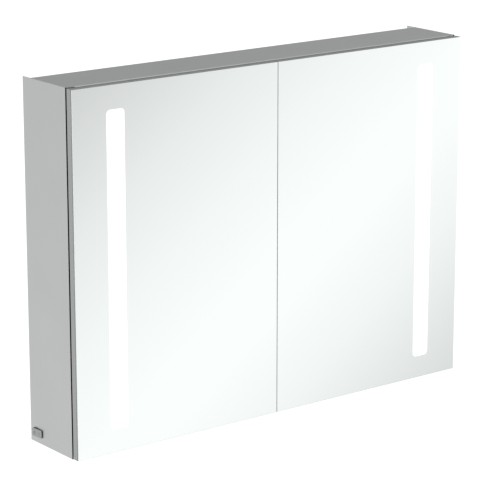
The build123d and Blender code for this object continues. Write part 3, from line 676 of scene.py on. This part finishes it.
def sign(mesh, loops, centre, along, outward, film):
    """A thin printed sign from one closed outline, or from an outer and an inner one."""
    rows = []
    for lift in (0.0, film):
        base = centre + outward * lift
        rows.append([[mesh.verts.new(base + along * x + UP * y) for x, y in loop] for loop in loops])
    back, face = rows
    for lower, upper in zip(back, face):
        skirt(mesh, upper, lower)
    for side in rows:
        if len(side) == 1:
            mesh.faces.new(side[0])
        else:
            skirt(mesh, *side)


# Trees that repeat a piece

def open_tree(name, inputs):
    """A tree with named inputs, and the sockets of its input node."""
    tree = bpy.data.node_groups.new(name, "GeometryNodeTree")
    for label, kind in {"Geometry": "Geometry", **inputs}.items():
        tree.interface.new_socket(label, in_out="INPUT", socket_type=f"NodeSocket{kind}")
    tree.interface.new_socket("Geometry", in_out="OUTPUT", socket_type="NodeSocketGeometry")
    return tree, node(tree, "NodeGroupInput").outputs


def aimed(tree):
    """The turn that points a piece's Z along the outward direction of its point."""
    outward = node(tree, "GeometryNodeInputNamedAttribute", {"Name": "outward"}, data_type="FLOAT_VECTOR")
    return node(tree, "FunctionNodeAlignRotationToVector", {"Vector": outward}, axis="Z")


def on_points(tree, given, piece, turn):
    """A piece set on every point, made real and given its finish."""
    placed = node(tree, "GeometryNodeInstanceOnPoints",
                  {"Points": given["Geometry"], "Instance": piece, "Rotation": turn})
    real = node(tree, "GeometryNodeRealizeInstances", {"Geometry": placed})
    return node(tree, "GeometryNodeSetMaterial", {"Geometry": real, "Material": given["Finish"]})


def repeat_tree(name):
    """A tree that sets one piece upright on each point, or turned by chance up to a spin."""
    tree, given = open_tree(name, {"Piece": "Object", "Spin": "Float", "Finish": "Material"})
    upward = node(tree, "GeometryNodeInputNamedAttribute", {"Name": "upward"}, data_type="FLOAT_VECTOR")
    upright = node(tree, "FunctionNodeAlignRotationToVector", {"Rotation": aimed(tree), "Vector": upward},
                   axis="Y", pivot_axis="Z")
    chance = node(tree, "FunctionNodeRandomValue", {"Max": given["Spin"], "Seed": SPIN_SEED},
                  data_type="FLOAT")
    spin = node(tree, "FunctionNodeAxisAngleToRotation", {"Axis": UP, "Angle": chance})
    turn = node(tree, "FunctionNodeRotateRotation", {"Rotation": upright, "Rotate By": spin},
                rotation_space="LOCAL")
    piece = node(tree, "GeometryNodeObjectInfo", {"Object": given["Piece"]}).outputs["Geometry"]
    node(tree, "NodeGroupOutput", {"Geometry": on_points(tree, given, piece, turn)})
    return tree


def sleeve_tree():
    """A tree that sets a sleeve on each point, with a dark disc of painted shade at the floor of its bore."""
    tree, given = open_tree("sleeves", {
        "Bore": "Float", "Wall": "Float", "Floor": "Vector", "Sides": "Int", "Lip sides": "Int",
        "Finish": "Material", "Shadow": "Material",
    })
    half = node(tree, "ShaderNodeMath", {0: given["Wall"], 1: 0.5}, operation="MULTIPLY")
    middle = node(tree, "ShaderNodeMath", {0: given["Bore"], 1: half}, operation="ADD")
    path = node(tree, "GeometryNodeCurvePrimitiveCircle",
                {"Resolution": given["Sides"], "Radius": middle}, mode="RADIUS")
    lip = node(tree, "GeometryNodeCurvePrimitiveCircle",
               {"Resolution": given["Lip sides"], "Radius": half}, mode="RADIUS")
    collar = node(tree, "GeometryNodeCurveToMesh", {"Curve": path, "Profile Curve": lip})
    # Painted shade: a flat disc at the bore's floor, given the dark finish, in place of a real hole
    hole = node(tree, "GeometryNodeMeshCircle", {"Vertices": given["Sides"], "Radius": middle},
                fill_type="NGON")
    raised = node(tree, "GeometryNodeTransform", {"Geometry": hole, "Translation": given["Floor"]})
    marked = node(tree, "GeometryNodeStoreNamedAttribute",
                  {"Geometry": raised, "Name": "bore", "Value": True}, data_type="BOOLEAN", domain="FACE")
    whole = node(tree, "GeometryNodeJoinGeometry", {"Geometry": collar})
    tree.links.new(marked.outputs["Geometry"], whole.inputs["Geometry"])
    made = on_points(tree, given, whole, aimed(tree))
    bore = node(tree, "GeometryNodeInputNamedAttribute", {"Name": "bore"}, data_type="BOOLEAN")
    dark = node(tree, "GeometryNodeSetMaterial",
                {"Geometry": made, "Selection": bore, "Material": given["Shadow"]})
    node(tree, "NodeGroupOutput", {"Geometry": dark})
    return tree


def points_mesh(name, places):
    """Points with an outward and an upward direction each."""
    data = bpy.data.meshes.new(name)
    data.from_pydata([place for place, _ in places], [], [])
    directions = {"outward": [outward for _, outward in places], "upward": [UP] * len(places)}
    for attribute, rows in directions.items():
        layer = data.attributes.new(attribute, "FLOAT_VECTOR", "POINT")
        layer.data.foreach_set("vector", [value for row in rows for value in row])
    return data


def realised(name, places, tree, inputs):
    """Run a tree on places and keep the result as a plain mesh."""
    holder = bpy.data.objects.new(name, points_mesh(name, places))
    bpy.context.scene.collection.objects.link(holder)
    modifier = holder.modifiers.new(name, "NODES")
    modifier.node_group = tree
    for socket in tree.interface.items_tree:
        if socket.in_out == "INPUT" and socket.name in inputs:
            modifier[socket.identifier] = inputs[socket.name]
    depsgraph = bpy.context.evaluated_depsgraph_get()
    plain = bpy.data.meshes.new_from_object(holder.evaluated_get(depsgraph))
    holder.modifiers.remove(modifier)
    holder.data = plain
    if not plain.polygons:
        raise RuntimeError(f"{name} came out empty")
    # Pieces without a finish of their own leave an empty first slot when they are made real
    plain.materials.pop(index=0)
    return holder


def smooth(piece):
    """Smooth shading that keeps sharp edges."""
    piece.data.shade_smooth()
    edges = bmesh.new()
    edges.from_mesh(piece.data)
    bmesh.ops.remove_doubles(edges, verts=edges.verts, dist=MERGE)
    for edge in edges.edges:
        edge.smooth = edge.calc_face_angle(math.pi) < SHARP_EDGE
    edges.to_mesh(piece.data)
    edges.free()


# Operators

class FinishBody(bpy.types.Operator):
    """Skins, boards, rear panel and seals."""
    bl_idname = "mirror_cabinet.body"
    bl_label = "Body"

    def execute(self, context):
        dress("anodised_upright", *both("side_skin", "side_frame"), "centre_partition")
        dress("anodised_level", "top_panel", "bottom_panel")
        dress("coated_sheet", "rear_panel")
        # The edge seals are a real part, and their near-black colour also stands in for the shade deep in the
        # gap between side and door
        dress("epdm_rubber", *both("edge_seal"))
        return {"FINISHED"}


class FinishDoors(bpy.types.Operator):
    """Mirrors, lit strips, edge rails and what is between the mirrors."""
    bl_idname = "mirror_cabinet.doors"
    bl_label = "Doors"

    def execute(self, context):
        dress("silvered_float_glass", *both("mirror_front", "mirror_rear"))
        dress("cast_opal_acrylic", *both("light_diffuser"))
        dress("coated_lamp_board", *both("led_strip"))
        dress("foamed_polystyrene", *both("door_core"))
        dress("anodised_rail", *both("door_frame"))
        return {"FINISHED"}


class FinishShelves(bpy.types.Operator):
    """Glass shelves."""
    bl_idname = "mirror_cabinet.shelves"
    bl_label = "Shelves"

    def execute(self, context):
        dress("clear_float_glass", *both("lower_shelf", "upper_shelf"))
        return {"FINISHED"}


class BuildRests(bpy.types.Operator):
    """Half-round shelf rests with their pins."""
    bl_idname = "mirror_cabinet.rests"
    bl_label = "Shelf rests"

    def execute(self, context):
        sizes = context.scene.cabinet_sizes
        bay_middle = (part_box("right_side_frame")[0].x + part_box("centre_partition")[1].x) / 2
        places = []
        for low, high in solids("shelf_supports"):
            middle = (low + high) / 2
            # A rest points from its wall to the middle of its bay
            inward = math.copysign(1.0, math.copysign(bay_middle, middle.x) - middle.x)
            free_end = high.x if inward > 0 else low.x
            wall = free_end - inward * sizes.rest_length
            places.append(((wall, middle.y, low.z + sizes.rest_radius), (inward, 0.0, 0.0)))
        piece = rest_template(sizes)
        rests = realised("shelf_rests", places, repeat_tree("rests"),
                         {"Piece": piece, "Spin": 0.0, "Finish": finish("chrome_plate")})
        bpy.data.objects.remove(piece)
        smooth(rests)
        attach(rests, "cabinet")
        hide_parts("shelf_supports")
        return {"FINISHED"}


class BuildSleeves(bpy.types.Operator):
    """Rows of sleeved holes in which the shelf rests can be set."""
    bl_idname = "mirror_cabinet.sleeves"
    bl_label = "Rest holes"

    def execute(self, context):
        sizes = context.scene.cabinet_sizes
        rests = solids("shelf_supports")
        depths = sorted({round((low.y + high.y) / 2, PLACE_DIGITS) for low, high in rests})
        used = [low.z + sizes.rest_radius for low, _ in rests]
        wall_low, wall_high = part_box("centre_partition")
        faces = (
            (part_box("left_side_frame")[1].x, 1.0), (wall_low.x, -1.0),
            (wall_high.x, 1.0), (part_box("right_side_frame")[0].x, -1.0),
        )
        start = min(used)
        first = math.ceil((wall_low.z + sizes.sleeve_margin - start) / sizes.bore_pitch)
        last = math.floor((wall_high.z - sizes.sleeve_margin - start) / sizes.bore_pitch)
        heights = [start + step * sizes.bore_pitch for step in range(first, last + 1)]
        free = [height for height in heights if min(abs(height - taken) for taken in used) > sizes.rest_room]
        fittings = (*both("hinge_plates", "hinge_arms"), "electrics_cover")
        boxes = [box for name in fittings for box in solids(name)]
        spots = [((x, depth, height), (inward, 0.0, 0.0))
                 for x, inward in faces for depth in depths for height in free]
        places = [(place, inward) for place, inward in spots
                  if not any(covered(place, box, sizes.bore_room) for box in boxes)]
        sleeves = realised("rest_sleeves", places, sleeve_tree(), {
            "Bore": sizes.bore_radius, "Wall": sizes.sleeve_wall, "Floor": UP * sizes.bore_lift,
            "Sides": sizes.sleeve_sides, "Lip sides": sizes.lip_sides,
            "Finish": finish("natural_nylon"), "Shadow": finish("bore_shadow"),
        })
        smooth(sleeves)
        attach(sleeves, "cabinet")
        return {"FINISHED"}


class BuildBumpers(bpy.types.Operator):
    """Clear domes that catch the closing doors."""
    bl_idname = "mirror_cabinet.bumpers"
    bl_label = "Door bumpers"

    def execute(self, context):
        sizes = context.scene.cabinet_sizes
        boxes = solids("door_bumpers")
        low, high = boxes[0]
        piece = bumper_template(sizes, (high.x - low.x) / 2, high.y - low.y)
        places = []
        for low, high in boxes:
            middle = (low + high) / 2
            places.append(((middle.x, high.y, middle.z), (0.0, -1.0, 0.0)))
        bumpers = realised("bumper_domes", places, repeat_tree("bumpers"),
                           {"Piece": piece, "Spin": 0.0, "Finish": finish("clear_polyurethane")})
        bpy.data.objects.remove(piece)
        smooth(bumpers)
        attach(bumpers, "cabinet")
        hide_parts("door_bumpers")
        return {"FINISHED"}


class FinishHinges(bpy.types.Operator):
    """Arms, plates, cups and pins of the concealed hinges."""
    bl_idname = "mirror_cabinet.hinges"
    bl_label = "Hinges"

    def execute(self, context):
        dress("nickel_plate", *both("hinge_plates", "hinge_arms", "hinge_cups", "hinge_pins"))
        return {"FINISHED"}


class BuildScrews(bpy.types.Operator):
    """Cross-recessed screws in the hinges, the rear panel and the hanger rail."""
    bl_idname = "mirror_cabinet.screws"
    bl_label = "Screws"

    def execute(self, context):
        sizes = context.scene.cabinet_sizes
        templates = {
            kind: screw_template(f"{kind}_screw", profile, sizes)
            for kind, profile in screw_profiles(sizes).items()
        }
        right, left, rear = Vector((1, 0, 0)), Vector((-1, 0, 0)), Vector((0, 1, 0))
        sets = (
            ("hinge_plate_flat_screws", "cabinet", "flat",
             {"left_hinge_plate_screws": right, "right_hinge_plate_screws": left, "rear_panel_screws": rear}),
            ("hinge_arm_low_screws", "cabinet", "low",
             {"left_hinge_arm_screws": right, "right_hinge_arm_screws": left, "hanger_rail_screws": rear}),
            ("left_cup_screws", "left_door", "flat", {"left_hinge_cup_screws": rear}),
            ("right_cup_screws", "right_door", "flat", {"right_hinge_cup_screws": rear}),
        )
        tree = repeat_tree("screws")
        for name, body, kind, nodes in sets:
            sunk = sizes.pan_height if kind == "low" else 0.0
            places = []
            for cad_node, outward in nodes.items():
                for low, high in solids(cad_node):
                    reach = abs(outward.dot(high - low)) / 2
                    places.append(((low + high) / 2 + outward * (reach - sunk), outward))
            screws = realised(name, places, tree, {
                "Piece": templates[kind], "Spin": math.pi / 2, "Finish": finish("screw_zinc"),
            })
            smooth(screws)
            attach(screws, body)
            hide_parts(*nodes)
        for piece in templates.values():
            bpy.data.objects.remove(piece)
        return {"FINISHED"}


class FinishWallFixing(bpy.types.Operator):
    """Wall rail, hanger rail and rubber spacers."""
    bl_idname = "mirror_cabinet.wall_fixing"
    bl_label = "Wall fixing"

    def execute(self, context):
        dress("zinc_plate", "wall_rail", "hanger_rail")
        dress("epdm_rubber", "wall_buffers")
        return {"FINISHED"}


class FinishElectrics(bpy.types.Operator):
    """Cover, driver, terminals and the lead's ring."""
    bl_idname = "mirror_cabinet.electrics"
    bl_label = "Electrics"

    def execute(self, context):
        dress("grey_abs", "electrics_cover")
        dress("white_polycarbonate", "led_driver")
        dress("natural_nylon", "terminal_block")
        dress("epdm_rubber", "cable_grommet")
        return {"FINISHED"}


class BuildSwitch(bpy.types.Operator):
    """Light switch with its on and off signs."""
    bl_idname = "mirror_cabinet.switch"
    bl_label = "Light switch"

    def execute(self, context):
        sizes = context.scene.cabinet_sizes
        dress("black_nylon", "switch_housing")
        dress("grey_nylon", "switch_rocker")
        dress("stamped_brass", "switch_blades")
        line = sizes.mark_line / 2
        size = sizes.mark_size / 2
        bar = [(-line, -size), (line, -size), (line, size), (-line, size)]
        rings = [circle(radius, sizes.round_sides) for radius in (size, size - sizes.mark_line)]
        centre, outward = largest_face("switch_rocker")
        along = outward.cross(UP).normalized()
        apart = along * sizes.mark_spread
        mesh = bmesh.new()
        sign(mesh, [bar], centre - apart, along, outward, sizes.mark_film)
        sign(mesh, rings, centre + apart, along, outward, sizes.mark_film)
        signs = formed("rocker_signs", mesh)
        signs.data.materials.append(finish("sign_paint"))
        context.scene.collection.objects.link(signs)
        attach(signs, "rocker")
        return {"FINISHED"}


class BuildStage(bpy.types.Operator):
    """Camera, floor, soft lights and a graded card that the mirrors reflect."""
    bl_idname = "mirror_cabinet.stage"
    bl_label = "Stage"

    def execute(self, context):
        scene = context.scene
        stage = scene.cabinet_stage
        scene.view_settings.view_transform = "Standard"
        data = bpy.data.cameras.new("camera")
        data.lens = stage.camera_lens
        camera = bpy.data.objects.new("camera", data)
        camera.location = stage.camera_place
        camera.rotation_euler = (math.pi / 2 - stage.camera_tilt, 0.0, -stage.camera_turn)
        scene.collection.objects.link(camera)
        scene.camera = camera
        self.floor(scene, stage)
        self.card(scene, stage)
        self.lamp(scene, "key_light", stage.key_place, stage.key_power)
        self.lamp(scene, "fill_light", stage.fill_place, stage.fill_power)
        self.room(scene, stage.ambient)
        return {"FINISHED"}

    def sheet(self, scene, name, corners, material):
        """A flat stage piece."""
        data = bpy.data.meshes.new(name)
        data.from_pydata(corners, [], [(0, 1, 2, 3)])
        data.materials.append(material)
        piece = bpy.data.objects.new(name, data)
        scene.collection.objects.link(piece)
        return piece

    def graded(self, tree, share, stops):
        """Grey levels along a share from 0 to 1."""
        ramp = node(tree, "ShaderNodeValToRGB", {"Fac": share})
        for _ in stops[2:]:
            ramp.color_ramp.elements.new(0.5)
        for element, (place, grey) in zip(ramp.color_ramp.elements, stops):
            element.position = place
            element.color = (grey, grey, grey, 1.0)
        return ramp

    def seen(self, tree):
        """Whether a ray comes from the camera, straight or through glass, and whether from a gloss."""
        path = node(tree, "ShaderNodeLightPath").outputs
        straight = node(tree, "ShaderNodeMath",
                        {0: path["Is Camera Ray"], 1: path["Is Transmission Ray"]}, operation="MAXIMUM")
        return straight, path["Is Glossy Ray"]

    def floor(self, scene, stage):
        """Floor that looks white but keeps the cabinet's shadow, and greyer with distance in the mirrors."""
        material, tree, place = begin("pale_floor")
        straight, glossy = self.seen(tree)
        flat = node(tree, "ShaderNodeVectorMath", {0: place, 1: (1.0, 1.0, 0.0)}, operation="MULTIPLY")
        away = node(tree, "ShaderNodeVectorMath", {0: flat}, operation="LENGTH")
        share = node(tree, "ShaderNodeMath", {0: away, 1: stage.floor_reach}, operation="DIVIDE")
        lift = node(tree, "ShaderNodeMath", {0: straight, 1: stage.floor_glow}, operation="MULTIPLY")
        pale = node(tree, "ShaderNodeBsdfPrincipled", {
            "Base Color": linear("#E8E9E9"), "Roughness": 0.9, "Specular IOR Level": 0.0,
            "Emission Color": WHITE, "Emission Strength": lift,
        })
        mirrored = node(tree, "ShaderNodeEmission", {"Color": self.graded(tree, share, FLOOR_GREYS)})
        either = node(tree, "ShaderNodeMixShader", {"Fac": glossy, 1: pale, 2: mirrored})
        node(tree, "ShaderNodeOutputMaterial", {"Surface": either})
        reach = stage.floor_reach
        height = CAD_BOX[0].z - stage.floor_drop
        ends = ((-reach, -reach), (reach, -reach), (reach, reach), (-reach, reach))
        self.sheet(scene, "floor", [(x, y, height) for x, y in ends], material)

    def card(self, scene, stage):
        """Graded card at the front right, seen only in reflections."""
        material, tree, place = begin("graded_card")
        parts = node(tree, "ShaderNodeSeparateXYZ", {"Vector": place}).outputs
        # Half of the grading comes from the way across and half from the way down
        ways = [
            node(tree, "ShaderNodeMapRange", {
                "Value": parts[axis], "From Min": getattr(stage.grade_start, axis.lower()),
                "From Max": getattr(stage.grade_end, axis.lower()), "To Max": 0.5,
            }, clamp=False)
            for axis in "XZ"
        ]
        slant = node(tree, "ShaderNodeMath", dict(enumerate(ways)), operation="ADD")
        glow = node(tree, "ShaderNodeEmission",
                    {"Color": self.graded(tree, slant, CARD_GREYS), "Strength": stage.card_glow})
        node(tree, "ShaderNodeOutputMaterial", {"Surface": glow})
        low, high = stage.card_low, stage.card_high
        ends = ((low.x, low.z), (high.x, low.z), (high.x, high.z), (low.x, high.z))
        card = self.sheet(scene, "graded_card", [(x, low.y, z) for x, z in ends], material)
        for ray in ("camera", "diffuse", "shadow", "transmission"):
            setattr(card, f"visible_{ray}", False)

    def lamp(self, scene, name, place, power):
        """A square soft light that faces the cabinet and that mirrors don't show."""
        middle = (CAD_BOX[0] + CAD_BOX[1]) / 2
        data = bpy.data.lights.new(name, "AREA")
        data.size = scene.cabinet_stage.lamp_size
        data.spread = scene.cabinet_stage.lamp_spread
        data.energy = power
        lamp = bpy.data.objects.new(name, data)
        lamp.location = place
        lamp.rotation_euler = (middle - place).to_track_quat("-Z", "Y").to_euler()
        lamp.visible_camera = False
        lamp.visible_glossy = False
        scene.collection.objects.link(lamp)

    def room(self, scene, ambient):
        """White backdrop, with dimmer reflections from overhead and even light from all round."""
        world = bpy.data.worlds.new("room")
        world.use_nodes = True
        tree = world.node_tree
        tree.nodes.clear()
        straight, glossy = self.seen(tree)
        ray = node(tree, "ShaderNodeTexCoord").outputs["Generated"]
        height = node(tree, "ShaderNodeSeparateXYZ", {"Vector": ray}).outputs["Z"]
        sky = self.graded(tree, height, SKY_GREYS)
        light = node(tree, "ShaderNodeMix", {"Factor": glossy, "A": ambient, "B": sky})
        shown = node(tree, "ShaderNodeMix", {"Factor": straight, "A": light, "B": 1.0})
        back = node(tree, "ShaderNodeBackground", {"Color": WHITE, "Strength": shown})
        node(tree, "ShaderNodeOutputWorld", {"Surface": back})
        scene.world = world


class CabinetPanel(bpy.types.Panel):
    """Steps that dress the cabinet, and the values they use."""
    bl_idname = "VIEW3D_PT_mirror_cabinet"
    bl_label = "Mirror Cabinet"
    bl_space_type = "VIEW_3D"
    bl_region_type = "UI"
    bl_category = "Mirror Cabinet"

    def draw(self, context):
        scene = context.scene
        for step in STEPS:
            self.layout.operator(step.bl_idname)
        for group in (scene.cabinet_colours, scene.cabinet_sizes, scene.cabinet_stage):
            box = self.layout.box()
            for name in group.bl_rna.properties.keys():
                if name not in ("rna_type", "name"):
                    box.prop(group, name)


GROUPS = (CabinetColours, CabinetSizes, CabinetStage)
STEPS = (
    FinishBody, FinishDoors, FinishShelves, BuildRests, BuildSleeves, BuildBumpers, FinishHinges,
    BuildScrews, FinishWallFixing, FinishElectrics, BuildSwitch, BuildStage,
)


def register():
    """Make the values, the steps and the panel known."""
    for kind in (*GROUPS, *STEPS, CabinetPanel):
        bpy.utils.register_class(kind)
    bpy.types.Scene.cabinet_colours = PointerProperty(type=CabinetColours)
    bpy.types.Scene.cabinet_sizes = PointerProperty(type=CabinetSizes)
    bpy.types.Scene.cabinet_stage = PointerProperty(type=CabinetStage)


def unregister():
    """Take them away again."""
    del bpy.types.Scene.cabinet_stage
    del bpy.types.Scene.cabinet_sizes
    del bpy.types.Scene.cabinet_colours
    for kind in reversed((*GROUPS, *STEPS, CabinetPanel)):
        bpy.utils.unregister_class(kind)


def main():
    """Run every step in order."""
    register()
    for step in STEPS:
        area, name = step.bl_idname.split(".")
        getattr(getattr(bpy.ops, area), name)()


if __name__ == "__main__":
    main()
